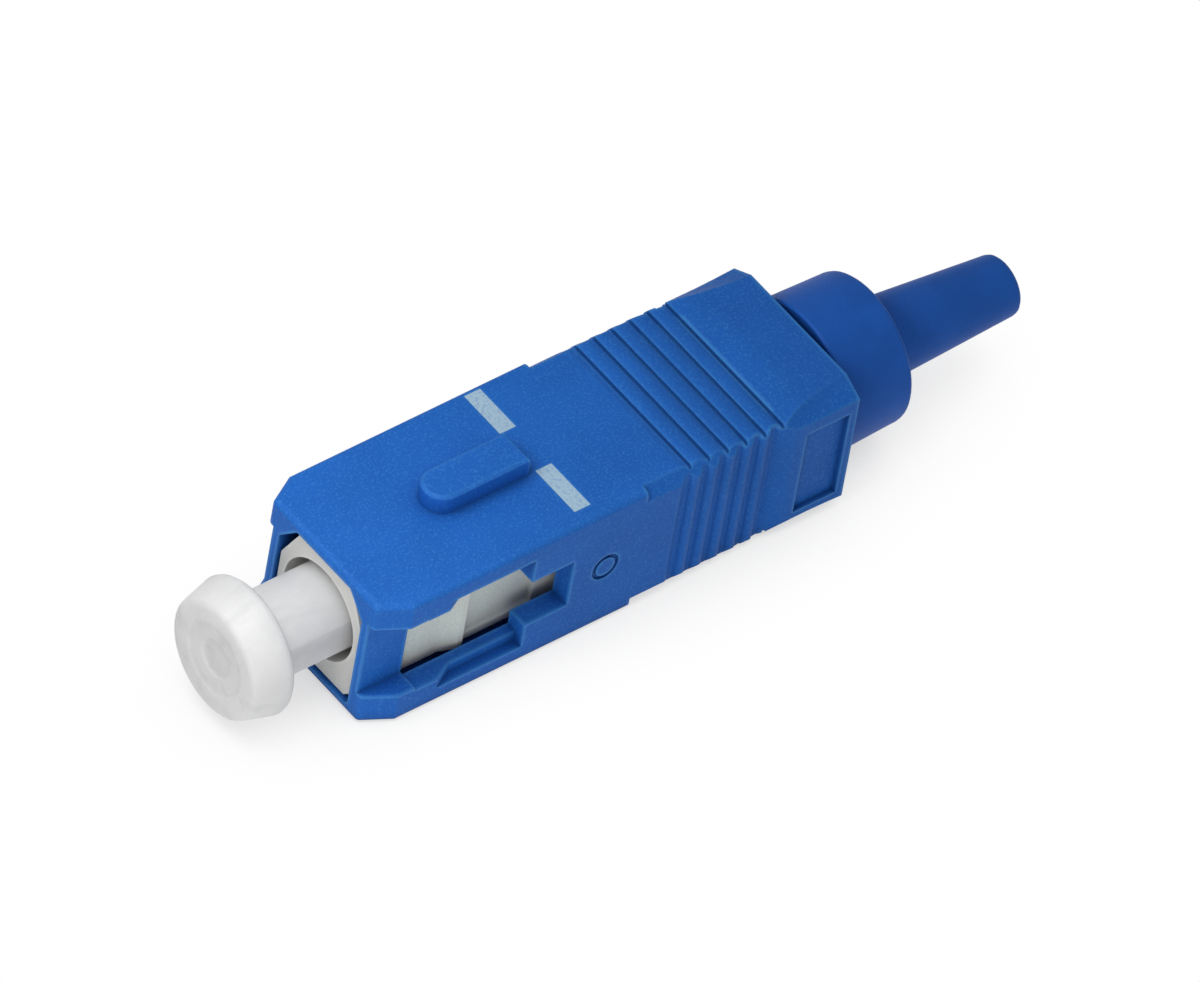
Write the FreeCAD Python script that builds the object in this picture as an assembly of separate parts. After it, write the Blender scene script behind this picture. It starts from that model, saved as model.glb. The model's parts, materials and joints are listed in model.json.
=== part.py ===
import FreeCAD, Part
import math
import os

# SC fibre connector for one fibre in a 0.9 mm buffer, with its dust cap on.
#
# Frame: X runs along the optical axis. The mating end and the dust cap point
# towards -X, the boot towards +X. X = 0 is the front face of the outer
# housing, Z is up through the key, and Y is across the key. Millimetres.

# ---- driving dimensions -------------------------------------------------

# Outer housing: the sliding grip sleeve
HOUSING_LENGTH = 26.1
HOUSING_WIDTH = 9.0
HOUSING_HEIGHT = 7.4
NOSE_CHAMFER_X = 1.5
NOSE_CHAMFER_Y = 0.8
EDGE_ROUNDING = 0.3
GRIP_START = 14.35
CHAMFER_Z = 0.6
CHAMFER_Y = 0.48
REAR_CHAMFER_Y = 1.1

# Finger ribs around the grip, in a waist that tapers and then flares
GROOVE_COUNT = 6
GROOVE_DEPTH = 0.22
GROOVE_WALL = 0.03
SIDE_GROOVE = 16.7
SIDE_PITCH = 0.97
SIDE_GROOVE_WIDTH = 0.26
SIDE_CROWN = 0.2
TOP_GROOVE = 16.9
TOP_PITCH = 1.02
TOP_GROOVE_WIDTH = 0.12
TOP_CROWN = 0.09
WAIST_SLOPE = 0.04
FLARE_LENGTH = 1.6

# Shallow pocket near the rear of each side
POCKET_START = 23.3
POCKET_END = 25.65
POCKET_BOTTOM = -2.6
POCKET_TOP = 2.35
POCKET_DEPTH = 0.24

# Inside of the housing
OPENING_HALF_WIDTH = 2.95
CAVITY_HALF_WIDTH = 3.45
CAVITY_HALF_HEIGHT = 3.25
BRIDGE_LENGTH = 2.4

# Side windows that clear the adapter's latch hooks
WINDOW_END = 8.28
WINDOW_HALF_HEIGHT = 2.2
RECESS_FLOOR = 3.4
RECESS_BOTTOM = -2.05
RECESS_TOP = 2.25
RAMP_START = 3.65
RAMP_END = 4.65
BAND_FLOOR = 4.0
BAND_HALF_HEIGHT = 2.75
SLOT_END = 10.6
SLOT_HALF_HEIGHT = 1.38

# Key on top, gate mark on the side, painted witness marks
KEY_START = 5.3
KEY_END = 10.42
KEY_WIDTH = 1.9
KEY_HEIGHT = 1.05
GATE_X = 12.5
GATE_RADIUS = 0.72
GATE_GROOVE = 0.2
GATE_DEPTH = 0.12
MARK_START = 10.84
MARK_LENGTH = 0.87
MARK_DEPTH = 0.05
NEAR_MARK = (-3.7, -0.9)
FAR_MARK = (1.63, HOUSING_WIDTH / 2 - EDGE_ROUNDING)

# Travel of the housing on the plug frame
TRAVEL_FORWARD = 1.5
TRAVEL_BACK = 0.3
RUNNING_GAP = 0.1
LUG_START = 13.2
LUG_FLAT = 0.5
LUG_LENGTH = 1.2
LUG_HEIGHT = 0.5
LUG_HALF_WIDTH = 1.2

# Plug frame
FRAME_FRONT = 0.2
FRAME_REAR = 18.6
FRAME_HALF_WIDTH = 2.86
FRAME_GUIDE_HALF_WIDTH = CAVITY_HALF_WIDTH - RUNNING_GAP
FRAME_HALF_HEIGHT = 3.17
FRAME_GUIDE_START = 11.2
FRAME_CHAMFER_Y = 1.05
FRAME_CHAMFER_Z = 2.1
FRAME_LOWER_CHAMFER = 0.45
LATCH_RIDGE_START = 4.75
LATCH_RIDGE_END = 6.0
LATCH_RIDGE_HALF_WIDTH = 3.2
LATCH_RIDGE_BOTTOM = -2.65
LATCH_RIDGE_TOP = 0.8
HOOK_REST_END = 10.0
HOOK_REST_DEPTH = 0.28
FRONT_BORE_RADIUS = 2.45
SEAT_WALL_FRONT = 5.6
SEAT_WALL_REAR = 6.6
SPRING_BORE_RADIUS = 2.2
FLANGE_KEY_END = 10.2
FLANGE_KEY_INNER = 1.85
SNAP_START = FRAME_REAR - 2.1
SNAP_END = FRAME_REAR - 0.3
SNAP_HALF_HEIGHT = 1.3
MOUTH_HALF_WIDTH = 2.6
MOUTH_HALF_HEIGHT = 2.4
MOUTH_ROUNDING = 0.6

# Ferrule assembly
FERRULE_TIP = -1.85
FERRULE_LENGTH = 10.5
FERRULE_RADIUS = 1.25
FIBRE_RADIUS = 0.0625
FERRULE_FLOAT = 1.2
FLANGE_RADIUS = 2.05
FLANGE_LENGTH = 1.8
BARREL_RADIUS = 1.38
BARREL_END = 13.2
BUFFER_RADIUS = 0.45
FIBRE_CHANNEL_RADIUS = 0.5
TUBE_RADIUS = 0.79
TUBE_START = BARREL_END - 1.2
TUBE_END = 24.0
SPRING_RADIUS = 1.62
SPRING_WIRE = 0.38
SPRING_TURNS = 4.5
SPRING_SIDES = 5

# Rear body and boot
PLUG_BLOCK_START = 14.8
PRESS_GAP = 0.05
SHOULDER_END = 19.7
SHOULDER_RADIUS = 3.05
REAR_BORE_RADIUS = 1.2
BARREL_GROOVE = 21.4
BARREL_GROOVE_PITCH = 1.4
BARREL_GROOVE_WIDTH = 0.7
BARREL_GROOVE_DEPTH = 0.2
SLEEVE_START = 24.4
SLEEVE_RADIUS = 2.75
REAR_BARREL_RADIUS = 2.4
REAR_BARREL_END = 28.8
COLLAR_START = 26.5
COLLAR_END = 30.25
COLLAR_FRONT_RADIUS = 3.74
COLLAR_RADIUS = 3.61
TAIL_END = 38.15
TAIL_ROOT_RADIUS = 1.96
TAIL_TIP_RADIUS = 1.48

# Dust cap
CAP_FACE = -5.53
CAP_RIM = -3.5
CAP_FACE_RADIUS = 2.94
CAP_RIM_RADIUS = 3.3
CAP_NECK_RADIUS = 2.06
CAP_DISH_RADIUS = 1.75
CAP_DISH_DEPTH = 0.1
CAP_FLAT_DEPTH = 0.2
CAP_NECK_END = SEAT_WALL_FRONT - FERRULE_FLOAT - 0.2

HALF_WIDTH = HOUSING_WIDTH / 2
HALF_HEIGHT = HOUSING_HEIGHT / 2


# ---- small geometry helpers ---------------------------------------------

def vec(x, y, z):
    return FreeCAD.Vector(x, y, z)


def box(x0, x1, y0, y1, z0, z1):
    return Part.makeBox(x1 - x0, y1 - y0, z1 - z0, vec(x0, y0, z0))


def mirrored(shape, normal):
    return shape.mirror(vec(0, 0, 0), normal)


def both_sides(shape):
    """The shape and its mirror image across the XZ plane."""
    return [shape, mirrored(shape, vec(0, 1, 0))]


def path_edges(start, steps):
    """Edges through a list of steps: a point for a line, (mid, end) for an arc."""
    edges = []
    here = start
    for step in steps:
        if isinstance(step, tuple):
            middle, end = step
            edges.append(Part.Arc(here, middle, end).toShape())
        else:
            end = step
            edges.append(Part.LineSegment(here, end).toShape())
        here = end
    return edges


def closed_face(start, steps):
    return Part.Face(Part.Wire(path_edges(start, list(steps) + [start])))


def polygon_face(points):
    return closed_face(points[0], points[1:])


def plan_prism(points, z0, z1):
    """Extrude an XY outline from z0 to z1."""
    face = polygon_face([vec(x, y, z0) for x, y in points])
    return face.extrude(vec(0, 0, z1 - z0))


def section_prism(points, x0, x1):
    """Extrude a YZ outline from x0 to x1."""
    face = polygon_face([vec(x0, y, z) for y, z in points])
    return face.extrude(vec(x1 - x0, 0, 0))


def cylinder_x(radius, x0, x1):
    return Part.makeCylinder(radius, x1 - x0, vec(x0, 0, 0), vec(1, 0, 0))


def turned(points):
    """Revolve a closed outline of (x, r) points about the X axis."""
    face = polygon_face([vec(x, 0, r) for x, r in points])
    return face.revolve(vec(0, 0, 0), vec(1, 0, 0), 360)


def soft_corner(x, r, radius, start, end):
    """Points round a small arc about (x, r), from start to end degrees, in three chords."""
    points = []
    for index in range(4):
        angle = math.radians(start + (end - start) * index / 3)
        points.append((x + radius * math.cos(angle), r + radius * math.sin(angle)))
    return points


def edges_where(shape, test):
    return [edge for edge in shape.Edges if test(edge.BoundBox)]


def rounded_bar(x0, x1, half_width, half_height, radius):
    """Bar along X with its four long edges rounded."""
    bar = box(x0, x1, -half_width, half_width, -half_height, half_height)
    long_edges = edges_where(bar, lambda bound: bound.XLength > 1.0)
    return bar.makeFillet(radius, long_edges)


def save(name, shape):
    solid = shape.removeSplitter()
    if not solid.isValid():
        raise ValueError("bad solid: " + name)
    solid.exportStep("parts/" + name + ".step")
    print(name, "solids", len(solid.Solids), "volume", round(solid.Volume, 2))


# ---- outer housing ------------------------------------------------------

def grip_outline(half, ribs, place):
    """One side of the grip: grooves between crowned ribs, then a flare to full size.

    ribs holds the first groove's place, the pitch, the groove's width and the
    crown's rise. place(x, h) puts a point at height h above the axis plane.
    """
    first_groove, pitch, width, crown = ribs
    steps = [place(first_groove - 0.45, half)]
    for index in range(GROOVE_COUNT):
        middle = first_groove + index * pitch
        left = middle - width / 2
        right = middle + width / 2
        waist = half - index * pitch * WAIST_SLOPE
        shoulder = place(left - GROOVE_WALL, waist - crown)
        if index == 0:
            steps.append(shoulder)
        else:
            crest = place(middle - pitch / 2, waist + WAIST_SLOPE * pitch / 2)
            steps.append((crest, shoulder))
        steps.append(place(left, waist - GROOVE_DEPTH))
        steps.append(place(right, waist - GROOVE_DEPTH))
        steps.append(place(right + GROOVE_WALL, waist - crown))
    bend = place(right + 0.4 * FLARE_LENGTH, half - 0.12)
    steps.append((bend, place(right + FLARE_LENGTH, half)))
    steps.append(place(HOUSING_LENGTH, half))
    return steps


def grip_slab(half, ribs, depth, place, direction):
    """Two mirrored grip outlines closed into a face and extruded."""
    upper = grip_outline(half, ribs, place)
    lower = grip_outline(half, ribs, lambda x, h: place(x, -h))
    top_edges = path_edges(place(GRIP_START, half), upper)
    low_edges = path_edges(place(GRIP_START, -half), lower)
    ends = [
        Part.LineSegment(place(GRIP_START, half), place(GRIP_START, -half)).toShape(),
        Part.LineSegment(place(HOUSING_LENGTH, half), place(HOUSING_LENGTH, -half)).toShape(),
    ]
    wire = Part.Wire(Part.__sortEdges__(top_edges + low_edges + ends))
    slab = Part.Face(wire).extrude(direction * (2 * depth))
    slab.translate(direction * -depth)
    return slab


def chamfer_wedge():
    """Cutter for one long edge: an even chamfer that widens on top behind the ribs."""
    past = 1.0

    def corner(x, cut):
        slope = CHAMFER_Z / cut
        inner = vec(x, HALF_WIDTH - cut - past / slope, HALF_HEIGHT + past)
        lower = vec(x, HALF_WIDTH + past, HALF_HEIGHT - CHAMFER_Z - past * slope)
        outer = vec(x, HALF_WIDTH + past, HALF_HEIGHT + past)
        return Part.makePolygon([inner, lower, outer, inner])

    flare = TOP_GROOVE + (GROOVE_COUNT - 1) * TOP_PITCH
    stations = [
        corner(GRIP_START, CHAMFER_Y), corner(flare, CHAMFER_Y), corner(HOUSING_LENGTH, REAR_CHAMFER_Y),
    ]
    return Part.makeLoft(stations, True, True)


def grip_body():
    depth = HALF_WIDTH + 1.0
    side_ribs = (SIDE_GROOVE, SIDE_PITCH, SIDE_GROOVE_WIDTH, SIDE_CROWN)
    top_ribs = (TOP_GROOVE, TOP_PITCH, TOP_GROOVE_WIDTH, TOP_CROWN)
    plan = grip_slab(HALF_WIDTH, side_ribs, depth, lambda x, h: vec(x, h, 0), vec(0, 0, 1))
    side = grip_slab(HALF_HEIGHT, top_ribs, depth, lambda x, h: vec(x, 0, h), vec(0, 1, 0))
    wedges = both_sides(chamfer_wedge())
    wedges += [mirrored(wedge, vec(0, 0, 1)) for wedge in wedges]
    return plan.common(side).cut(wedges)


def nose_body():
    """Front block with its two corners cut back and its front and outer edges rounded."""
    nose = HALF_WIDTH - NOSE_CHAMFER_Y
    outline = [
        (0, -nose), (NOSE_CHAMFER_X, -HALF_WIDTH), (GRIP_START, -HALF_WIDTH),
        (GRIP_START, HALF_WIDTH), (NOSE_CHAMFER_X, HALF_WIDTH), (0, nose),
    ]
    block = plan_prism(outline, -HALF_HEIGHT, HALF_HEIGHT)
    front_edges = edges_where(block, lambda bound: bound.XMax < 0.01 and bound.ZLength > 1.0)
    block = block.makeFillet(EDGE_ROUNDING, front_edges)
    rims = edges_where(block, lambda bound: bound.ZLength < 0.1 and bound.XMin < GRIP_START - 0.1)
    return block.makeFillet(EDGE_ROUNDING, rims)


def key_body():
    """Polarity key: a bar with a round nose and a square rear end."""
    half = KEY_WIDTH / 2
    root = HALF_HEIGHT - 0.2
    top = HALF_HEIGHT + KEY_HEIGHT
    face = closed_face(vec(KEY_END, half, root), [
        vec(KEY_START + half, half, root),
        (vec(KEY_START, 0, root), vec(KEY_START + half, -half, root)),
        vec(KEY_END, -half, root),
    ])
    bar = face.extrude(vec(0, 0, top - root))
    crown = edges_where(bar, lambda bound: bound.ZMin > top - 0.01)
    return bar.makeChamfer(0.12, crown)


def side_cutouts():
    """Cutters for one side wall: recess, latch window, release ramps and slot."""
    beyond = HALF_WIDTH + 1.0
    window = WINDOW_HALF_HEIGHT
    recess = box(-1.0, BRIDGE_LENGTH + 0.1, RECESS_FLOOR, beyond, RECESS_BOTTOM, RECESS_TOP)
    opening = box(BRIDGE_LENGTH, WINDOW_END, 0, beyond, -window, window)
    ramp_slope = (HALF_WIDTH - BAND_FLOOR) / (RAMP_END - RAMP_START)
    ramp_foot = RAMP_START - (beyond - HALF_WIDTH) / ramp_slope
    band = plan_prism(
        [(ramp_foot, beyond), (RAMP_END, BAND_FLOOR), (WINDOW_END, BAND_FLOOR), (WINDOW_END, beyond)],
        -BAND_HALF_HEIGHT, BAND_HALF_HEIGHT,
    )
    slot = box(WINDOW_END - 0.1, SLOT_END, 0, beyond, -SLOT_HALF_HEIGHT, SLOT_HALF_HEIGHT)
    return [recess, opening, band, slot]


def grip_pocket():
    """Cutter for the shallow moulded pocket near the rear of one side."""
    floor = HALF_WIDTH - POCKET_DEPTH
    return box(POCKET_START, POCKET_END, floor, HALF_WIDTH + 1.0, POCKET_BOTTOM, POCKET_TOP)


def housing_cavity():
    """Front opening with two cut corners, then a square cavity open to the rear."""
    half_y = OPENING_HALF_WIDTH
    half_z = CAVITY_HALF_HEIGHT
    opening = section_prism([
        (-half_y + 0.2, -half_z), (half_y - 0.2, -half_z), (half_y, -half_z + 0.2),
        (half_y, half_z - 1.15), (half_y - 1.05, half_z), (-half_y + 1.05, half_z),
        (-half_y, half_z - 1.15), (-half_y, -half_z + 0.2),
    ], -1.0, BRIDGE_LENGTH + 0.1)
    cavity = rounded_bar(BRIDGE_LENGTH, HOUSING_LENGTH + 1.0, CAVITY_HALF_WIDTH, half_z, EDGE_ROUNDING)
    return opening.fuse(cavity)


def catch_lug():
    """Lug under the top wall that rides in the plug frame's groove."""
    root = CAVITY_HALF_HEIGHT + 0.1
    tip = CAVITY_HALF_HEIGHT - LUG_HEIGHT
    side = -LUG_HALF_WIDTH
    face = polygon_face([
        vec(LUG_START, side, root), vec(LUG_START, side, tip),
        vec(LUG_START + LUG_FLAT, side, tip), vec(LUG_START + LUG_LENGTH, side, root),
    ])
    return face.extrude(vec(0, 2 * LUG_HALF_WIDTH, 0))


def gate_ring():
    """Shallow ring groove around the moulding gate on the near side wall."""
    floor = vec(GATE_X, -HALF_WIDTH + GATE_DEPTH, 0)
    outward = vec(0, -1, 0)
    outer = Part.makeCylinder(GATE_RADIUS, 1.0, floor, outward)
    inner = Part.makeCylinder(GATE_RADIUS - GATE_GROOVE, 1.0, floor, outward)
    return outer.cut(inner)


def witness_bars(z0, z1):
    """The two painted bars, one on each side of the key."""
    mark_end = MARK_START + MARK_LENGTH
    return [box(MARK_START, mark_end, y0, y1, z0, z1) for y0, y1 in (NEAR_MARK, FAR_MARK)]


def outer_housing():
    shell = nose_body().fuse(grip_body()).removeSplitter()
    shell = shell.fuse(key_body())
    shell = shell.cut(housing_cavity())
    for cutter in side_cutouts():
        shell = shell.cut(both_sides(cutter))
    shell = shell.cut(both_sides(grip_pocket()))
    shell = shell.cut(gate_ring())
    shell = shell.cut(witness_bars(HALF_HEIGHT - MARK_DEPTH, HALF_HEIGHT + 0.1))
    lug = catch_lug()
    return shell.fuse([lug, mirrored(lug, vec(0, 0, 1))])


def witness_marks():
    bars = witness_bars(HALF_HEIGHT - MARK_DEPTH, HALF_HEIGHT + 0.005)
    return Part.makeCompound(bars)


# ---- plug frame ---------------------------------------------------------

def frame_section(half_width, x0, x1):
    """Frame bar with the two large keyed corners on top and small ones below."""
    half_z = FRAME_HALF_HEIGHT
    top_y = half_width - FRAME_CHAMFER_Y
    low_y = half_width - FRAME_LOWER_CHAMFER
    top_z = half_z - FRAME_CHAMFER_Z
    low_z = FRAME_LOWER_CHAMFER - half_z
    return section_prism([
        (-low_y, -half_z), (low_y, -half_z), (half_width, low_z), (half_width, top_z),
        (top_y, half_z), (-top_y, half_z), (-half_width, top_z), (-half_width, low_z),
    ], x0, x1)


def latch_ridge():
    """Ramped ridge that the adapter's hook rides over and drops behind."""
    root = FRAME_HALF_WIDTH - 0.5
    return plan_prism([
        (LATCH_RIDGE_START, root), (LATCH_RIDGE_START, FRAME_HALF_WIDTH),
        (LATCH_RIDGE_END - 0.3, LATCH_RIDGE_HALF_WIDTH), (LATCH_RIDGE_END, LATCH_RIDGE_HALF_WIDTH),
        (LATCH_RIDGE_END, root),
    ], LATCH_RIDGE_BOTTOM, LATCH_RIDGE_TOP)


def frame_bore():
    """Front socket, seat wall hole, spring bore and the square mouth for the rear body."""
    socket = cylinder_x(FRONT_BORE_RADIUS, FRAME_FRONT - 1.0, SEAT_WALL_FRONT)
    hole = cylinder_x(FERRULE_RADIUS + 0.2, SEAT_WALL_FRONT - 0.1, SEAT_WALL_REAR + 0.1)
    spring_bore = cylinder_x(SPRING_BORE_RADIUS, SEAT_WALL_REAR, PLUG_BLOCK_START + 0.1)
    start = PLUG_BLOCK_START - 0.2
    end = FRAME_REAR + 1.0
    mouth = rounded_bar(start, end, MOUTH_HALF_WIDTH, MOUTH_HALF_HEIGHT, MOUTH_ROUNDING)
    return [socket, hole, spring_bore, mouth]


def flange_key():
    """Rib in the spring bore that keeps the flange from turning."""
    start = SEAT_WALL_REAR - 0.05
    return box(start, FLANGE_KEY_END, -0.3, 0.3, FLANGE_KEY_INNER, SPRING_BORE_RADIUS + 0.1)


def side_recesses():
    """Cutters for one side: the rest behind the latch ridge and the snap window."""
    rest_floor = FRAME_HALF_WIDTH - HOOK_REST_DEPTH
    rest_height = WINDOW_HALF_HEIGHT + RUNNING_GAP
    snap_height = SNAP_HALF_HEIGHT
    hook_rest = box(LATCH_RIDGE_END, HOOK_REST_END, rest_floor, HALF_WIDTH, -rest_height, rest_height)
    snap_window = box(SNAP_START, SNAP_END, 2.0, HALF_WIDTH, -snap_height, snap_height)
    return [hook_rest, snap_window]


def lug_groove():
    """Groove on top, long enough for the housing's lug over its whole travel."""
    start = LUG_START - TRAVEL_FORWARD - RUNNING_GAP
    end = LUG_START + LUG_LENGTH + TRAVEL_BACK + RUNNING_GAP
    half = LUG_HALF_WIDTH + 0.15
    floor = CAVITY_HALF_HEIGHT - LUG_HEIGHT - RUNNING_GAP
    return box(start, end, -half, half, floor, HALF_HEIGHT)


def plug_frame():
    frame = frame_section(FRAME_HALF_WIDTH, FRAME_FRONT, FRAME_GUIDE_START + 0.5)
    frame = frame.fuse(frame_section(FRAME_GUIDE_HALF_WIDTH, FRAME_GUIDE_START, FRAME_REAR))
    frame = frame.fuse(both_sides(latch_ridge()))
    for cutter in side_recesses():
        frame = frame.cut(both_sides(cutter))
    groove = lug_groove()
    frame = frame.cut(frame_bore() + [groove, mirrored(groove, vec(0, 0, 1))])
    key = flange_key()
    return frame.fuse([key, mirrored(key, vec(0, 0, 1))])


# ---- ferrule assembly ---------------------------------------------------

def ferrule():
    """Zirconia ferrule with a bevelled tip, a fibre hole and a funnel at its rear."""
    tip = FERRULE_TIP
    end = tip + FERRULE_LENGTH
    return turned([
        (tip, FIBRE_RADIUS), (tip, 0.85), (tip + 0.45, FERRULE_RADIUS),
        (end, FERRULE_RADIUS), (end, BUFFER_RADIUS), (end - 0.4, FIBRE_RADIUS),
    ])


def ferrule_flange():
    """Metal holder: a four-slot collar with a barrel that guides the spring."""
    front = SEAT_WALL_REAR + 0.05
    seat = FERRULE_TIP + FERRULE_LENGTH
    collar_end = front + FLANGE_LENGTH
    press_fit = FERRULE_RADIUS + 0.01
    tube_fit = TUBE_RADIUS + 0.01
    body = turned([
        (front, press_fit), (front, FLANGE_RADIUS - 0.2), (front + 0.2, FLANGE_RADIUS),
        (collar_end, FLANGE_RADIUS), (collar_end, BARREL_RADIUS),
        (BARREL_END, BARREL_RADIUS), (BARREL_END, tube_fit),
        (TUBE_START, tube_fit), (TUBE_START, FIBRE_CHANNEL_RADIUS),
        (seat, FIBRE_CHANNEL_RADIUS), (seat, press_fit),
    ])
    slot = box(front - 0.1, collar_end + 0.1, -0.4, 0.4, FLANGE_RADIUS - 0.35, FLANGE_RADIUS + 0.1)
    slots = []
    for quarter in range(4):
        turned_slot = slot.copy()
        turned_slot.rotate(vec(0, 0, 0), vec(1, 0, 0), 90 * quarter)
        slots.append(turned_slot)
    return body.cut(slots)


def guide_tube():
    """Soft tube pressed in the flange's barrel that leads the fibre to the rear."""
    outer = cylinder_x(TUBE_RADIUS, TUBE_START, TUBE_END)
    return outer.cut(cylinder_x(FIBRE_CHANNEL_RADIUS, TUBE_START, TUBE_END))


def ferrule_spring():
    """Compression spring between the flange and the rear body, ends ground flat."""
    start = SEAT_WALL_REAR + 0.05 + FLANGE_LENGTH
    end = PLUG_BLOCK_START
    length = end - start
    helix = Part.makeHelix(length / SPRING_TURNS, length, SPRING_RADIUS)
    corners = []
    for index in range(SPRING_SIDES + 1):
        angle = 2 * math.pi * index / SPRING_SIDES
        reach = SPRING_RADIUS + SPRING_WIRE / 2 * math.cos(angle)
        corners.append(vec(reach, 0, SPRING_WIRE / 2 * math.sin(angle)))
    coil = Part.Wire(helix.Edges).makePipeShell([Part.makePolygon(corners)], True, True)
    coil.rotate(vec(0, 0, 0), vec(0, 1, 0), 90)
    coil.translate(vec(start, 0, 0))
    return coil.common(box(start, end, -3, 3, -3, 3))


# ---- rear body and boot -------------------------------------------------

def snap_barb():
    """Ramped barb that snaps into the plug frame's side window."""
    start = SNAP_START + 0.1
    end = SNAP_END - 0.2
    root = MOUTH_HALF_WIDTH - 0.2
    tip = MOUTH_HALF_WIDTH + 0.5
    half = SNAP_HALF_HEIGHT - 0.15
    return plan_prism([(start, root), (start, root + 0.15), (end, tip), (end, root)], -half, half)


def barrel_groove(start):
    """V groove that grips the boot's bore."""
    rim = REAR_BARREL_RADIUS + 0.1
    floor = REAR_BARREL_RADIUS - BARREL_GROOVE_DEPTH
    middle = start + BARREL_GROOVE_WIDTH / 2
    return turned([(start, rim), (middle, floor), (start + BARREL_GROOVE_WIDTH, rim)])


def stop_body():
    """Metal rear body: a block that snaps into the frame, a shoulder and a grooved barrel."""
    half_width = MOUTH_HALF_WIDTH - PRESS_GAP
    half_height = MOUTH_HALF_HEIGHT - PRESS_GAP
    block = rounded_bar(PLUG_BLOCK_START, FRAME_REAR, half_width, half_height, MOUTH_ROUNDING)
    radius = REAR_BARREL_RADIUS
    shoulder = turned([
        (FRAME_REAR, 0), (FRAME_REAR, SHOULDER_RADIUS), (SHOULDER_END - 0.15, SHOULDER_RADIUS),
        (SHOULDER_END, SHOULDER_RADIUS - 0.15),
        (SHOULDER_END, radius), (REAR_BARREL_END, radius), (REAR_BARREL_END, 0),
    ])
    body = block.fuse([shoulder] + both_sides(snap_barb()))
    cutters = [barrel_groove(BARREL_GROOVE + index * BARREL_GROOVE_PITCH) for index in range(2)]
    cutters.append(cylinder_x(REAR_BORE_RADIUS, PLUG_BLOCK_START - 1, REAR_BARREL_END + 1))
    return body.cut(cutters)


def boot():
    """Rubber boot: a sleeve over the barrel, a round collar and a tapered tail."""
    grip = REAR_BARREL_RADIUS + 0.01
    bore = BUFFER_RADIUS + 0.1
    bore_start = COLLAR_END + 1.8
    outline = [
        (SLEEVE_START, grip), (SLEEVE_START, SLEEVE_RADIUS), (COLLAR_START, SLEEVE_RADIUS),
        (COLLAR_START, COLLAR_FRONT_RADIUS - 0.1), (COLLAR_START + 0.1, COLLAR_FRONT_RADIUS),
    ]
    outline += soft_corner(COLLAR_END - 0.25, COLLAR_RADIUS - 0.25, 0.25, 90, 0)
    outline += [(COLLAR_END, TAIL_ROOT_RADIUS + 0.12), (COLLAR_END + 0.15, TAIL_ROOT_RADIUS)]
    outline += soft_corner(TAIL_END - 0.3, TAIL_TIP_RADIUS - 0.3, 0.3, 90, 0)
    outline += [
        (TAIL_END, bore), (bore_start, bore), (bore_start, REAR_BORE_RADIUS + 0.1),
        (REAR_BARREL_END, REAR_BORE_RADIUS + 0.1), (REAR_BARREL_END, grip),
    ]
    return turned(outline)


# ---- dust cap -----------------------------------------------------------

def dust_cap():
    """Translucent cap: a tapered head with a dished face and a neck over the ferrule."""
    bore = FERRULE_RADIUS + 0.04
    bore_end = FERRULE_TIP - 0.3
    dish = CAP_FACE + CAP_DISH_DEPTH
    outline = [
        (dish + 0.15, 0), (dish + 0.15, 0.9), (dish, 1.0), (dish, CAP_DISH_RADIUS),
        (CAP_FACE, CAP_DISH_RADIUS + CAP_DISH_DEPTH),
    ]
    outline += soft_corner(CAP_FACE + 0.3, CAP_FACE_RADIUS - 0.3, 0.3, 180, 100)
    outline += soft_corner(CAP_RIM - 0.35, CAP_RIM_RADIUS - 0.35, 0.35, 90, 0)
    outline += [
        (CAP_RIM, CAP_NECK_RADIUS + 0.15), (CAP_RIM + 0.15, CAP_NECK_RADIUS),
        (CAP_NECK_END - 0.2, CAP_NECK_RADIUS), (CAP_NECK_END, CAP_NECK_RADIUS - 0.2),
        (CAP_NECK_END, bore + 0.2), (CAP_NECK_END - 0.2, bore), (bore_end, bore), (bore_end, 0),
    ]
    cap = turned(outline)
    vent_flat = CAP_NECK_RADIUS - CAP_FLAT_DEPTH
    vent = box(CAP_RIM + 0.3, CAP_NECK_END + 1, vent_flat, CAP_RIM_RADIUS, -2, 2)
    return cap.cut(both_sides(vent))


def main():
    os.makedirs("parts", exist_ok=True)
    subparts = [
        outer_housing, witness_marks, plug_frame, ferrule, ferrule_flange,
        guide_tube, ferrule_spring, stop_body, boot, dust_cap,
    ]
    for subpart in subparts:
        save(subpart.__name__, subpart())


main()
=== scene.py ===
"""Surface finish and studio for an SC fibre connector with its dust cap on.

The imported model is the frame. This add-on gives every piece its procedural
material, lets the boot's soft tail droop, winds the hidden spring from round
wire and sets up a pale studio. One sidebar panel lists it all.
"""
import json
import math

import bpy
from mathutils import Matrix, Vector

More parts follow.
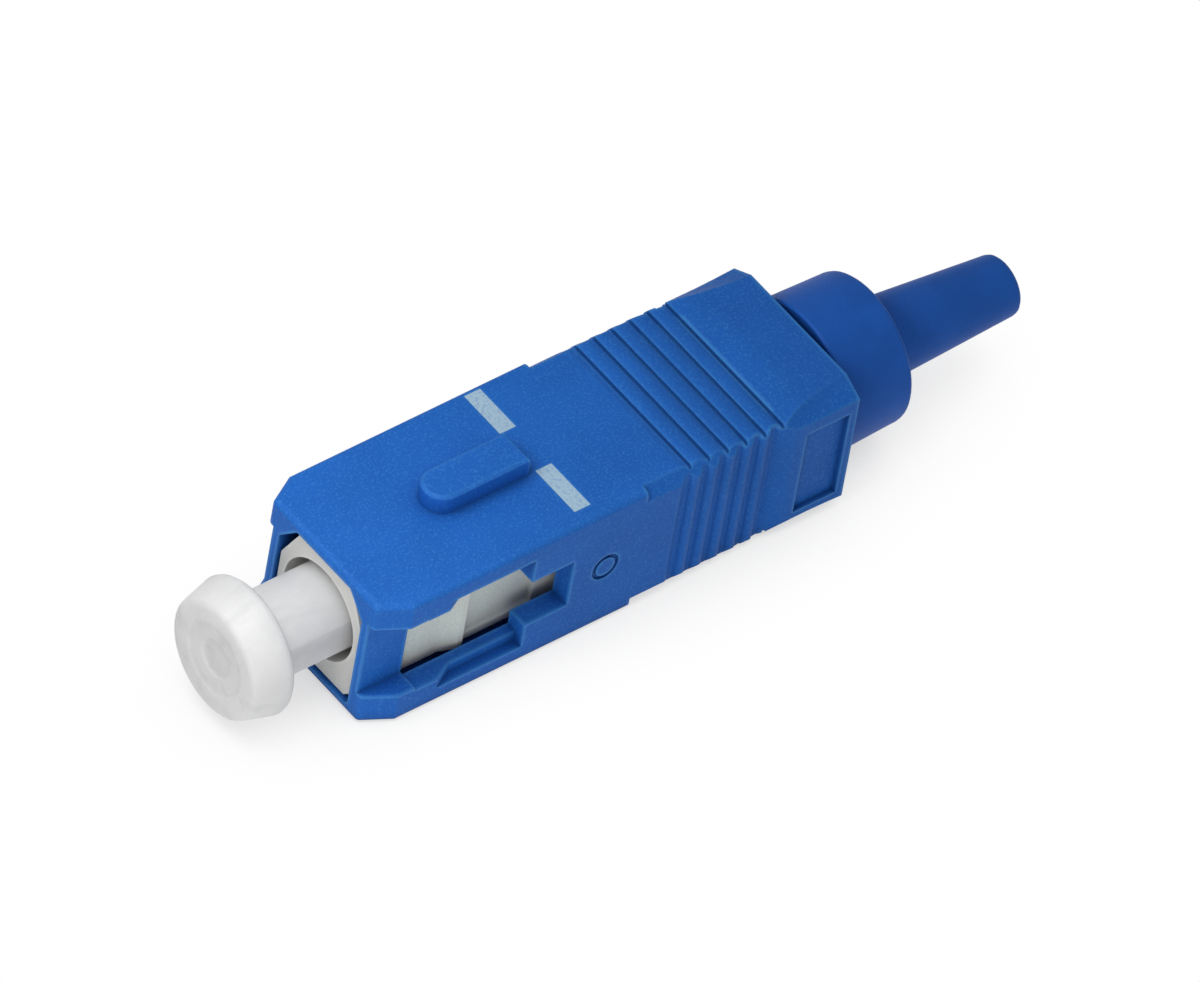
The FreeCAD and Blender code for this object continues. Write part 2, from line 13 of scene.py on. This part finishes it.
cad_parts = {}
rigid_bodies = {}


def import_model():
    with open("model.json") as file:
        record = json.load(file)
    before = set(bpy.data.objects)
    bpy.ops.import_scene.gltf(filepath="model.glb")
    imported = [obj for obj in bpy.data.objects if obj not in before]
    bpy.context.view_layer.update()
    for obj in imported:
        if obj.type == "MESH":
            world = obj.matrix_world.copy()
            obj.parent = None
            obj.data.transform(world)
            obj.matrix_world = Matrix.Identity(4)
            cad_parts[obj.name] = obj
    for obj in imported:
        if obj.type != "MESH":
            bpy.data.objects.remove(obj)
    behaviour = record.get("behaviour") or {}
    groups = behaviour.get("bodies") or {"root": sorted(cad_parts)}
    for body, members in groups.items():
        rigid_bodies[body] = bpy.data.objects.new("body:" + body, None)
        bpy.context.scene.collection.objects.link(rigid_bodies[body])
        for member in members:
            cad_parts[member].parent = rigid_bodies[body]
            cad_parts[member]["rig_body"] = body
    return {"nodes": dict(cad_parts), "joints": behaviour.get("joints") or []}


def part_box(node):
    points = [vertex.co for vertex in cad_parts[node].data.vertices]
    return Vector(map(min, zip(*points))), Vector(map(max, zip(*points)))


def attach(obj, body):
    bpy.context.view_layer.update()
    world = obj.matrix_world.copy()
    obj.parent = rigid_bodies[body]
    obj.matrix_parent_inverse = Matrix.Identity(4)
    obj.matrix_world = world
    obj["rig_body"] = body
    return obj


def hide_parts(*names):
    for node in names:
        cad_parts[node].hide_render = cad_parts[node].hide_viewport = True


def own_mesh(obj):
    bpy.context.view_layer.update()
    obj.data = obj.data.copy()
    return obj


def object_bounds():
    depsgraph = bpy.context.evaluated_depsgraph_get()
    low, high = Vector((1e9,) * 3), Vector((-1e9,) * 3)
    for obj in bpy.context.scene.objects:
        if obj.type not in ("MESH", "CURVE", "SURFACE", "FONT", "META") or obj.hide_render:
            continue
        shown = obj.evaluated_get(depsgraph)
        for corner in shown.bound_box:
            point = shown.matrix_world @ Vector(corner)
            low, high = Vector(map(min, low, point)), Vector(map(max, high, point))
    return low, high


bl_info = {
    "name": "Fibre connector finish",
    "version": (1, 0, 0),
    "blender": (4, 5, 0),
    "location": "View3D > Sidebar > Connector",
    "description": "Moulded plastic, rubber, ceramic, metal and studio for an SC fibre connector",
    "category": "Material",
}

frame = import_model()
CAD_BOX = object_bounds()

MM = 0.001
WHITE = (1.0, 1.0, 1.0, 1.0)
AXIS = Vector((1.0, 0.0, 0.0))
EVEN = (1.0, 1.0, 1.0)

# Where the boot's round collar ends and its tail starts, along the optical axis.
COLLAR_REAR = 30.25 * MM

# The spring's turns, and how finely a turn and the wire's section are cut.
SPRING_TURNS = 6
COIL_STEPS = 40
WIRE_SIDES = 14

# Rays that the bevel and occlusion nodes cast at each point.
NODE_RAYS = 6

# How far the painted shade in corners and grooves reaches on the plastic and the rubber.
PLASTIC_CORNER = 1.1 * MM
RUBBER_CORNER = 1.5 * MM

# Where behind its front the plug frame starts and ends turning to its painted light: a paler,
# greener colour that stands for light bounced in from the blue housing.
BOUNCE_LIT_START = 0.8 * MM
BOUNCE_LIT_END = 2.5 * MM

# The floor, and how far from the connector its shadow reaches.
FLOOR_SIZE = 3.0
FLOOR_GREY = (0.8, 0.8, 0.8, 1.0)
FLOOR_SHADOW = 7.0 * MM

# What the camera and the two lamps point at, from the centre of the housing's front.
VIEW_CENTRE = Vector((15.03, -0.85, 0.0)) * MM
NOSE_TOP = Vector((2.0, 0.0, 3.0)) * MM
WINDOW_SIDE = Vector((3.0, -4.0, -2.0)) * MM

# A very long lens, in millimetres, keeps parallel edges parallel. The camera shows
# what lies between NEAREST and FARTHEST, in metres.
LENS = 1000.0
SENSOR = 36.0
NEAREST = 0.1
FARTHEST = 10.0


def linear(red, green, blue):
    """A display colour of 0 to 255 as a linear colour."""
    def channel(value):
        value /= 255.0
        return value / 12.92 if value <= 0.04045 else ((value + 0.055) / 1.055) ** 2.4

    return (channel(red), channel(green), channel(blue))


# ---- shader maths -------------------------------------------------------

class Sock:
    """A shader value. Arithmetic on it adds Math nodes."""

    def __init__(self, graph, socket):
        self.graph = graph
        self.socket = socket

    def _math(self, operation, *values):
        return self.graph.node("ShaderNodeMath", {"operation": operation}, dict(enumerate(values)))

    def __add__(self, other):
        return self._math("ADD", self, other)

    def __radd__(self, other):
        return self._math("ADD", other, self)

    def __sub__(self, other):
        return self._math("SUBTRACT", self, other)

    def __rsub__(self, other):
        return self._math("SUBTRACT", other, self)

    def __mul__(self, other):
        return self._math("MULTIPLY", self, other)

    def __rmul__(self, other):
        return self._math("MULTIPLY", other, self)

    def wave(self, pitch):
        """A sine of this length value that repeats every pitch metres, -1 to 1."""
        return self._math("SINE", self * (2 * math.pi / pitch))

    def ramp(self, low, high):
        """0 below low, 1 above high, smooth between."""
        settings = {"interpolation_type": "SMOOTHSTEP"}
        inputs = {"Value": self, "From Min": low, "From Max": high}
        return self.graph.node("ShaderNodeMapRange", settings, inputs, "Result")


class Graph:
    """One material's node tree."""

    def __init__(self, name):
        self.material = bpy.data.materials.new(name)
        self.material.use_nodes = True
        self.tree = self.material.node_tree
        self.tree.nodes.clear()

    def node(self, kind, settings=None, inputs=None, output=0):
        """Add a node, set its properties and inputs, and return one output."""
        made = self.tree.nodes.new(kind)
        for key, value in (settings or {}).items():
            setattr(made, key, value)
        for key, value in (inputs or {}).items():
            if isinstance(value, Sock):
                self.tree.links.new(value.socket, made.inputs[key])
            else:
                made.inputs[key].default_value = value
        return Sock(self, made.outputs[output])

    def position(self, stretch=EVEN):
        """Place on the piece in metres, stretched along the axes."""
        place = self.node("ShaderNodeTexCoord", output="Object")
        if stretch == EVEN:
            return place
        return self.node("ShaderNodeVectorMath", {"operation": "MULTIPLY"}, {0: place, 1: stretch})

    def noise(self, size, detail=2.0, roughness=0.5, stretch=EVEN):
        """Noise whose features are about size metres across, from 0 to 1."""
        inputs = {
            "Vector": self.position(stretch), "Scale": 1.0 / size,
            "Detail": detail, "Roughness": roughness,
        }
        return self.node("ShaderNodeTexNoise", None, inputs, "Fac")

    def from_axis(self):
        """Distance from the optical axis, in metres."""
        flat = self.position((0.0, 1.0, 1.0))
        return self.node("ShaderNodeVectorMath", {"operation": "LENGTH"}, {0: flat}, "Value")

    def rounded(self, radius):
        """Surface direction with every edge softened by this radius."""
        return self.node("ShaderNodeBevel", {"samples": NODE_RAYS}, {"Radius": radius})

    def openness(self, reach):
        """1 on open surfaces, falling to 0 in corners and grooves within reach."""
        settings = {"samples": NODE_RAYS}
        return self.node("ShaderNodeAmbientOcclusion", settings, {"Distance": reach}, "AO")

    def edges(self, reach):
        """1 along the piece's outward edges, falling to 0 within reach of them."""
        settings = {"samples": NODE_RAYS, "inside": True, "only_local": True}
        thick = self.node("ShaderNodeAmbientOcclusion", settings, {"Distance": reach}, "AO")
        return (1.0 - thick).ramp(0.06, 0.4)

    def along(self):
        """Place along the optical axis, in metres from the housing's front."""
        return self.node("ShaderNodeSeparateXYZ", None, {"Vector": self.position()}, "X")

    def mix(self, factor, first, second):
        """Colour mix from first to second."""
        inputs = {0: factor, 6: opaque(first), 7: opaque(second)}
        return self.node("ShaderNodeMix", {"data_type": "RGBA"}, inputs, 2)

    def bump(self, height, distance, strength=1.0, normal=None):
        """Surface direction tilted by a relief that is distance deep, over normal if given."""
        inputs = {"Height": height, "Distance": distance, "Strength": strength}
        if normal is not None:
            inputs["Normal"] = normal
        return self.node("ShaderNodeBump", None, inputs, "Normal")

    def principled(self, **inputs):
        """The surface shader. An underscore in an input's name stands for a space."""
        named = {key.replace("_", " "): value for key, value in inputs.items()}
        return self.node("ShaderNodeBsdfPrincipled", None, named, "BSDF")

    def surface(self, shader):
        """Put the shader on the material's output and return the material."""
        output = self.tree.nodes.new("ShaderNodeOutputMaterial")
        self.tree.links.new(shader.socket, output.inputs["Surface"])
        return self.material


def opaque(colour):
    """A colour with full alpha; a linked colour is left as it is."""
    return colour if isinstance(colour, Sock) else (*colour[:3], 1.0)


def shade(colour, factor):
    """A darker or lighter version of a colour."""
    return tuple(min(1.0, channel * factor) for channel in colour[:3])


def paler(colour, share):
    """A paler version of a colour that keeps its hue: its darkest channel rises least."""
    return tuple(value + (1.0 - value) * share * value ** 0.6 for value in colour[:3])


def toward(colour, other, share):
    """A colour part of the way from one to another."""
    return tuple(a + (b - a) * share for a, b in zip(colour[:3], other[:3]))


# ---- settings -----------------------------------------------------------

def colour_property(name, description, default):
    """A colour that the sidebar shows as a swatch."""
    return bpy.props.FloatVectorProperty(
        name=name, description=description, subtype="COLOR", size=3,
        min=0.0, max=1.0, default=default,
    )


def length_property(name, description, default):
    """A length in metres."""
    return bpy.props.FloatProperty(
        name=name, description=description, default=default, min=0.0, precision=6,
        subtype="DISTANCE", unit="LENGTH",
    )


def angle_property(name, description, degrees):
    """An angle whose default is given in degrees."""
    return bpy.props.FloatProperty(
        name=name, description=description, default=math.radians(degrees),
        subtype="ANGLE", unit="ROTATION",
    )


def strength_property(name, description, default):
    """A light's strength."""
    return bpy.props.FloatProperty(
        name=name, description=description, default=default, min=0.0, precision=4,
        subtype="FACTOR",
    )


class FinishSettings(bpy.types.PropertyGroup):
    """Colours, soft shapes and texture sizes of the connector's pieces."""

    housing: colour_property("Housing", "Blue of the moulded grip sleeve", linear(35, 107, 202))
    boot: colour_property("Boot", "Deeper blue of the rubber boot", linear(34, 100, 198))
    cap: colour_property("Dust cap", "Pale grey of the frosted cap", linear(234, 234, 234))
    plug_frame: colour_property("Plug frame", "Off-white of the inner frame", linear(226, 226, 222))
    # Painted light: the frame behind its front, paler and greener as if lit by bounce from the
    # housing.
    plug_frame_bounce_lit: colour_property("Plug frame, inside", "Its greener body", linear(236, 250, 241))
    mark: colour_property("Witness marks", "Bluish white of the painted bars", linear(176, 208, 230))
    ceramic: colour_property("Ferrule", "White of the zirconia ferrule", linear(238, 236, 228))
    nickel: colour_property("Nickel", "Plating of the holder and rear body", linear(206, 202, 192))
    steel: colour_property("Spring steel", "Drawn wire of the spring", linear(176, 176, 180))
    tube: colour_property("Guide tube", "Waxy white of the fibre tube", linear(236, 236, 232))
    boot_droop: length_property("Boot droop", "How far the soft tail's tip hangs down", 0.42 * MM)
    wire: length_property("Spring wire", "Thickness of the ferrule spring's wire", 0.38 * MM)
    grain: length_property("Grain", "Width of the spark-eroded grain", 0.1 * MM)
    rounding: length_property("Edge softness", "How far light rounds the sharp edges", 0.08 * MM)
    # The paler rim along the outward edges is a painted highlight.
    rim: length_property("Rim wear", "How far the paler rim reaches from an outward edge", 0.22 * MM)


class StudioSettings(bpy.types.PropertyGroup):
    """Camera and lights."""

    azimuth: angle_property("Azimuth", "Camera's turn from the -Y direction", -45.45)
    elevation: angle_property("Elevation", "Camera's height above the axis plane", 46.74)
    roll: angle_property("Roll", "Camera's turn about its own axis", 10.62)
    view_width: length_property("View width", "Width of the view at the connector", 52.02 * MM)
    key: strength_property("Key light", "Light above the front, 1 renders white as white", 0.72)
    key_azimuth: angle_property("Key azimuth", "Its turn from the -Y direction", -98)
    key_elevation: angle_property("Key elevation", "Its height above the axis plane", 67)
    key_distance: length_property("Key distance", "From the front's top to its light", 38 * MM)
    fill: strength_property("Fill light", "Light on the near side", 0.25)
    fill_azimuth: angle_property("Fill azimuth", "Its turn from the -Y direction", -38)
    fill_elevation: angle_property("Fill elevation", "Its height above the axis plane", 14)
    fill_distance: length_property("Fill distance", "From the near side to its light", 42 * MM)
    lamp_size: length_property("Lamp size", "Width of both square lights", 30 * MM)
    room: strength_property("Room light", "Even light from all round", 0.36)


# ---- materials ----------------------------------------------------------

def moulded(name, colour, settings, speckle, crevice, bounce_lit=None):
    """Spark-eroded moulded plastic: fine grain, painted sparkle specks, a painted highlight along
    the rims and painted shade in corners.

    speckle is how strongly the painted sparkle specks show. crevice is how dark the
    painted shade in corners and grooves gets, 1 leaving them as they are. bounce_lit is
    the painted light that the plastic turns to behind the connector's front: a paler,
    greener colour that stands for light bounced in from the blue housing.
    """
    graph = Graph(name)
    grain = graph.noise(settings.grain, detail=3.0, roughness=0.6)
    specks = graph.noise(settings.grain * 1.2, detail=2.5, roughness=0.6).ramp(0.5, 0.68)
    flow = graph.noise(3.5 * MM, detail=2.0)
    edge = graph.edges(settings.rim)
    # Painted light: behind its front the plastic turns paler and greener.
    if bounce_lit:
        colour_at = graph.mix(graph.along().ramp(BOUNCE_LIT_START, BOUNCE_LIT_END), colour, bounce_lit)
        base = graph.mix(flow.ramp(0.3, 0.7) * 0.3, colour_at, shade(colour, 0.93))
    else:
        base = graph.mix(flow.ramp(0.3, 0.7), shade(colour, 0.93), shade(colour, 1.06))
    base = graph.mix(grain.ramp(0.3, 0.7) * 0.5, base, shade(colour, 0.86))
    # Painted sparkle: specks turn paler, standing for glints off the spark-eroded grain.
    base = graph.mix(specks * speckle, base, paler(colour, 0.25))
    # Painted highlight: a paler rim along the outward edges.
    base = graph.mix(edge * 0.75, base, paler(colour, 0.55))
    # Painted shade: corners and grooves darken towards a deeper blue.
    base = graph.mix(graph.openness(PLASTIC_CORNER).ramp(0.3, 0.92), shade(colour, crevice), base)
    softened = graph.bump(grain, settings.grain * 0.2, 0.8, graph.rounded(settings.rounding))
    shader = graph.principled(
        Base_Color=base, Roughness=0.46 + 0.12 * grain - 0.08 * edge, Normal=softened,
        Specular_IOR_Level=0.13,
    )
    return graph.surface(shader)


def painted(name, colour, under, settings):
    """Thin print that lets the plastic's grain show through."""
    graph = Graph(name)
    grain = graph.noise(settings.grain, detail=3.0, roughness=0.6)
    pits = graph.noise(settings.grain * 1.6, detail=3.0).ramp(0.48, 0.64)
    base = graph.mix(pits * 0.6, colour, toward(colour, under, 0.5))
    base = graph.mix(grain.ramp(0.35, 0.65) * 0.35, base, shade(colour, 0.82))
    shader = graph.principled(
        Base_Color=base, Roughness=0.55 + 0.15 * grain,
        Normal=graph.bump(grain, settings.grain * 0.1),
    )
    return graph.surface(shader)


def rubber(name, colour, settings):
    """Satin rubber with faint turning lines from its mould."""
    graph = Graph(name)
    grain = graph.noise(0.12 * MM, detail=3.0, roughness=0.6)
    flow = graph.noise(2.5 * MM, detail=2.0)
    lines = graph.noise(0.25 * MM, detail=2.0, stretch=(6.0, 0.4, 0.4))
    edge = graph.edges(0.5 * settings.rim)
    base = graph.mix(flow.ramp(0.3, 0.7), shade(colour, 0.92), shade(colour, 1.08))
    base = graph.mix(grain.ramp(0.35, 0.65) * 0.3, base, shade(colour, 0.85))
    # Painted highlight: a paler rim along the boot's outward edges.
    base = graph.mix(edge * 0.25, base, paler(colour, 0.25))
    # Painted shade: the boot's corners and grooves darken.
    base = graph.mix(graph.openness(RUBBER_CORNER).ramp(0.1, 0.8), shade(colour, 0.6), base)
    relief = 0.6 * grain + 0.4 * lines
    softened = graph.bump(relief, 0.008 * MM, 0.8, graph.rounded(settings.rounding))
    shader = graph.principled(
        Base_Color=base, Roughness=0.46 + 0.12 * grain, Normal=softened,
        Specular_IOR_Level=0.16,
    )
    return graph.surface(shader)


def frosted(name, colour, settings):
    """Frosted soft plastic: light spreads inside it. It has faint rings and pale streaks."""
    graph = Graph(name)
    grain = graph.noise(0.1 * MM, detail=3.0, roughness=0.6)
    flow = graph.noise(1.6 * MM, detail=3.0)
    rings = graph.from_axis().wave(0.62 * MM)
    streaks = graph.noise(1.4 * MM, detail=3.0, stretch=(0.25, 1.4, 1.4))
    base = graph.mix(flow.ramp(0.3, 0.7), shade(colour, 0.96), shade(colour, 1.04))
    base = graph.mix(grain.ramp(0.35, 0.65) * 0.2, base, shade(colour, 0.9))
    base = graph.mix(streaks.ramp(0.52, 0.7) * 0.5, base, shade(colour, 0.84))
    softened = graph.bump(rings, 0.016 * MM, 0.4, graph.rounded(2.0 * settings.rounding))
    softened = graph.bump(grain, 0.004 * MM, 0.5, softened)
    shader = graph.principled(
        Base_Color=base, Roughness=0.42 + 0.12 * grain, Normal=softened,
        Specular_IOR_Level=0.3, Subsurface_Weight=0.9, Subsurface_Scale=2.5 * MM,
        Subsurface_Radius=EVEN,
    )
    return graph.surface(shader)


def ceramic(name, colour, settings):
    """Polished zirconia with fine grinding marks along the rod."""
    graph = Graph(name)
    flow = graph.noise(0.8 * MM, detail=3.0)
    polish = graph.noise(0.05 * MM, detail=2.0, stretch=(8.0, 1.0, 1.0))
    base = graph.mix(flow.ramp(0.3, 0.7), shade(colour, 0.97), shade(colour, 1.02))
    softened = graph.bump(polish, 0.001 * MM, 0.4, graph.rounded(settings.rounding))
    shader = graph.principled(Base_Color=base, Roughness=0.14 + 0.08 * polish, Normal=softened)
    return graph.surface(shader)


def metal(name, colour, settings, rough, stretch):
    """Plated or drawn metal. stretch draws out its tool marks along the axes."""
    graph = Graph(name)
    marks = graph.noise(0.06 * MM, detail=3.0, stretch=stretch)
    stain = graph.noise(1.2 * MM, detail=3.0)
    edge = graph.edges(0.5 * settings.rim)
    base = graph.mix(stain.ramp(0.35, 0.7) * 0.5, colour, shade(colour, 0.8))
    # Painted highlight: edges turn paler towards white.
    base = graph.mix(edge * 0.5, base, toward(colour, WHITE, 0.4))
    softened = graph.bump(marks, 0.003 * MM, 0.6, graph.rounded(settings.rounding))
    shader = graph.principled(
        Base_Color=base, Metallic=1.0, Roughness=rough + 0.15 * marks, Normal=softened,
    )
    return graph.surface(shader)


def dress(piece, material):
    """Give a piece its finished material in every slot."""
    if not piece.material_slots:
        piece.data.materials.append(material)
    for slot in piece.material_slots:
        slot.material = material


def paint(node, material):
    """Dress a CAD node."""
    dress(frame["nodes"][node], material)


# ---- shapes -------------------------------------------------------------

def add_object(name, data):
    """Add an object to the scene."""
    made = bpy.data.objects.new(name, data)
    bpy.context.scene.collection.objects.link(made)
    return made


def take_over(piece, node):
    """Let a piece stand for a CAD node, on the node's own body."""
    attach(piece, frame["nodes"][node]["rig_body"])
    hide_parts(node)


def drooping_boot(droop):
    """The boot with its soft tail hanging down, its tip by the length droop."""
    mesh = frame["nodes"]["boot"].data.copy()
    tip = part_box("boot")[1].x
    for vertex in mesh.vertices:
        share = (vertex.co.x - COLLAR_REAR) / (tip - COLLAR_REAR)
        vertex.co.z -= droop * max(0.0, share)
    return add_object("soft_boot", mesh)


def coil_points(wire):
    """Centres of the spring's wire, with the direction from the axis at each."""
    low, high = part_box("ferrule_spring")
    radius = (high.y - low.y - wire) / 2
    steps = SPRING_TURNS * COIL_STEPS
    for index in range(steps + 1):
        angle = 2 * math.pi * index / COIL_STEPS
        outward = Vector((0.0, math.cos(angle), math.sin(angle)))
        travel = low.x + wire / 2 + (high.x - low.x - wire) * index / steps
        yield Vector((travel, 0.0, 0.0)) + outward * radius, outward


def tube_faces(count):
    """Faces of a tube of count corners, with a flat face on either end."""
    faces = [tuple(range(WIRE_SIDES)), tuple(range(count - 1, count - 1 - WIRE_SIDES, -1))]
    for start in range(0, count - WIRE_SIDES, WIRE_SIDES):
        for side in range(WIRE_SIDES):
            here = start + side
            beside = start + (side + 1) % WIRE_SIDES
            faces.append((here, here + WIRE_SIDES, beside + WIRE_SIDES, beside))
    return faces


def round_spring(wire):
    """Helical spring of round wire in the place of the CAD's angular one."""
    corners = []
    for centre, outward in coil_points(wire):
        for side in range(WIRE_SIDES):
            turn = 2 * math.pi * side / WIRE_SIDES
            corners.append(centre + wire / 2 * (outward * math.cos(turn) + AXIS * math.sin(turn)))
    faces = tube_faces(len(corners))
    mesh = bpy.data.meshes.new("round_spring")
    mesh.from_pydata(corners, [], faces)
    mesh.shade_smooth()
    return add_object("round_spring", mesh)


def float_travel():
    """How far the ferrule moves back against its spring, in metres."""
    joint = next(joint for joint in frame["joints"] if joint["name"] == "ferrule_float")
    return max(joint["range_m"])


# ---- studio -------------------------------------------------------------

def direction(azimuth, elevation):
    """Unit vector towards a light or the camera, azimuth 0 being -Y."""
    return Vector((
        math.sin(azimuth) * math.cos(elevation),
        -math.cos(azimuth) * math.cos(elevation),
        math.sin(elevation),
    ))


def aimed(target, back, distance):
    """Placement of a lamp or camera at that distance from target, facing it."""
    turn = back.to_track_quat("Z", "Y").to_matrix().to_4x4()
    return Matrix.Translation(target + back * distance) @ turn


def add_panel_light(name, target, back, distance, size, strength):
    """Square soft light aimed at target. A strength of 1 renders white as white there."""
    light = bpy.data.lights.new(name, "AREA")
    light.size = size
    light.energy = strength * (math.pi * distance) ** 2
    add_object(name, light).matrix_world = aimed(target, back, distance)


def add_floor(level):
    """Pale floor that shows as white, with a soft shadow close to the connector."""
    bpy.ops.mesh.primitive_plane_add(size=FLOOR_SIZE, location=(0.0, 0.0, level))
    floor = bpy.context.object
    floor.name = "floor"
    graph = Graph("floor")
    seen = graph.node("ShaderNodeLightPath", output="Is Camera Ray")
    mirrored = graph.node("ShaderNodeLightPath", output="Is Glossy Ray")
    through = graph.node("ShaderNodeLightPath", output="Is Transmission Ray")
    clear = graph.openness(FLOOR_SHADOW).ramp(0.0, 0.85)
    white = graph.node("ShaderNodeEmission", None, {"Color": WHITE, "Strength": 1.0})
    matte = graph.node("ShaderNodeBsdfDiffuse", None, {"Color": FLOOR_GREY})
    factor = (seen + mirrored + through) * (0.5 + 0.5 * clear)
    both = graph.node("ShaderNodeMixShader", None, {0: factor, 1: matte, 2: white})
    floor.data.materials.append(graph.surface(both))


def add_room(strength):
    """Even pale light from all round."""
    world = bpy.data.worlds.new("room")
    bpy.context.scene.world = world
    world.use_nodes = True
    background = world.node_tree.nodes["Background"]
    background.inputs["Color"].default_value = WHITE
    background.inputs["Strength"].default_value = strength


def add_camera(target, studio):
    """Camera far away on its long lens."""
    lens = bpy.data.cameras.new("camera")
    lens.lens = LENS
    lens.sensor_width = SENSOR
    lens.clip_start = NEAREST
    lens.clip_end = FARTHEST
    distance = studio.view_width * LENS / SENSOR
    back = direction(studio.azimuth, studio.elevation)
    camera = add_object("camera", lens)
    camera.matrix_world = aimed(target, back, distance) @ Matrix.Rotation(studio.roll, 4, "Z")
    bpy.context.scene.camera = camera


# ---- operators ----------------------------------------------------------

class CONNECTOR_OT_housing(bpy.types.Operator):
    """Finish the grip sleeve and its two painted witness marks"""

    bl_idname = "connector.housing"
    bl_label = "Grip sleeve and marks"

    def execute(self, context):
        finish = context.scene.connector_finish
        blue = moulded("housing_blue", finish.housing, finish, speckle=0.7, crevice=0.5)
        paint("outer_housing", blue)
        paint("witness_marks", painted("mark_white", finish.mark, finish.housing, finish))
        return {"FINISHED"}


class CONNECTOR_OT_plug_frame(bpy.types.Operator):
    """Finish the off-white plug frame"""

    bl_idname = "connector.plug_frame"
    bl_label = "Plug frame"

    def execute(self, context):
        finish = context.scene.connector_finish
        white = moulded(
            "frame_white", finish.plug_frame, finish, speckle=0.15, crevice=0.9,
            bounce_lit=finish.plug_frame_bounce_lit,
        )
        paint("plug_frame", white)
        return {"FINISHED"}


class CONNECTOR_OT_boot(bpy.types.Operator):
    """Let the rubber boot's tail droop and finish it"""

    bl_idname = "connector.boot"
    bl_label = "Boot"

    def execute(self, context):
        finish = context.scene.connector_finish
        soft = drooping_boot(finish.boot_droop)
        dress(soft, rubber("boot_blue", finish.boot, finish))
        take_over(soft, "boot")
        return {"FINISHED"}


class CONNECTOR_OT_dust_cap(bpy.types.Operator):
    """Finish the frosted dust cap"""

    bl_idname = "connector.dust_cap"
    bl_label = "Dust cap"

    def execute(self, context):
        finish = context.scene.connector_finish
        paint("dust_cap", frosted("cap_clear", finish.cap, finish))
        return {"FINISHED"}


class CONNECTOR_OT_ferrule(bpy.types.Operator):
    """Finish the ceramic ferrule and the fibre tube behind it"""

    bl_idname = "connector.ferrule"
    bl_label = "Ferrule and tube"

    def execute(self, context):
        finish = context.scene.connector_finish
        paint("ferrule", ceramic("zirconia", finish.ceramic, finish))
        paint("guide_tube", frosted("tube_white", finish.tube, finish))
        return {"FINISHED"}


class CONNECTOR_OT_metal(bpy.types.Operator):
    """Finish the ferrule's holder and the rear body"""

    bl_idname = "connector.metal"
    bl_label = "Metal pieces"

    def execute(self, context):
        finish = context.scene.connector_finish
        plated = metal("nickel", finish.nickel, finish, rough=0.22, stretch=(8.0, 1.0, 1.0))
        paint("ferrule_flange", plated)
        paint("stop_body", plated)
        return {"FINISHED"}


class CONNECTOR_OT_spring(bpy.types.Operator):
    """Wind the ferrule spring from round wire"""

    bl_idname = "connector.spring"
    bl_label = "Ferrule spring"

    def execute(self, context):
        finish = context.scene.connector_finish
        low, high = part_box("ferrule_spring")
        length = high.x - low.x
        spring = round_spring(finish.wire)
        drawn = metal("spring_steel", finish.steel, finish, rough=0.3, stretch=(1.0, 5.0, 5.0))
        dress(spring, drawn)
        take_over(spring, "ferrule_spring")
        (length - float_travel()) / length
        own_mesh(spring)
        return {"FINISHED"}


class CONNECTOR_OT_studio(bpy.types.Operator):
    """Set up the floor, the lights and the camera"""

    bl_idname = "connector.studio"
    bl_label = "Studio"

    def execute(self, context):
        studio = context.scene.connector_studio
        add_floor(CAD_BOX[0][2])
        add_room(studio.room)
        above = direction(studio.key_azimuth, studio.key_elevation)
        add_panel_light("key", NOSE_TOP, above, studio.key_distance, studio.lamp_size, studio.key)
        near = direction(studio.fill_azimuth, studio.fill_elevation)
        add_panel_light(
            "fill", WINDOW_SIDE, near, studio.fill_distance, studio.lamp_size, studio.fill,
        )
        add_camera(VIEW_CENTRE, studio)
        context.scene.view_settings.view_transform = "Standard"
        return {"FINISHED"}


class CONNECTOR_PT_sidebar(bpy.types.Panel):
    """Buttons for each group of pieces, with the settings below"""

    bl_idname = "CONNECTOR_PT_sidebar"
    bl_label = "Fibre connector"
    bl_space_type = "VIEW_3D"
    bl_region_type = "UI"
    bl_category = "Connector"

    def draw(self, context):
        for operator in OPERATORS:
            self.layout.operator(operator.bl_idname)
        for settings in (context.scene.connector_finish, context.scene.connector_studio):
            column = self.layout.column()
            for name in settings.__annotations__:
                column.prop(settings, name)


OPERATORS = (
    CONNECTOR_OT_housing, CONNECTOR_OT_plug_frame, CONNECTOR_OT_boot, CONNECTOR_OT_dust_cap,
    CONNECTOR_OT_ferrule, CONNECTOR_OT_metal, CONNECTOR_OT_spring, CONNECTOR_OT_studio,
)
CLASSES = (FinishSettings, StudioSettings, *OPERATORS, CONNECTOR_PT_sidebar)


def register():
    """Make the settings, operators and panel known to Blender."""
    for cls in CLASSES:
        bpy.utils.register_class(cls)
    bpy.types.Scene.connector_finish = bpy.props.PointerProperty(type=FinishSettings)
    bpy.types.Scene.connector_studio = bpy.props.PointerProperty(type=StudioSettings)


def unregister():
    """Take back what register did."""
    del bpy.types.Scene.connector_studio
    del bpy.types.Scene.connector_finish
    for cls in reversed(CLASSES):
        bpy.utils.unregister_class(cls)


def main():
    register()
    for operator in OPERATORS:
        group, action = operator.bl_idname.split(".")
        getattr(getattr(bpy.ops, group), action)()


if __name__ == "__main__":
    main()
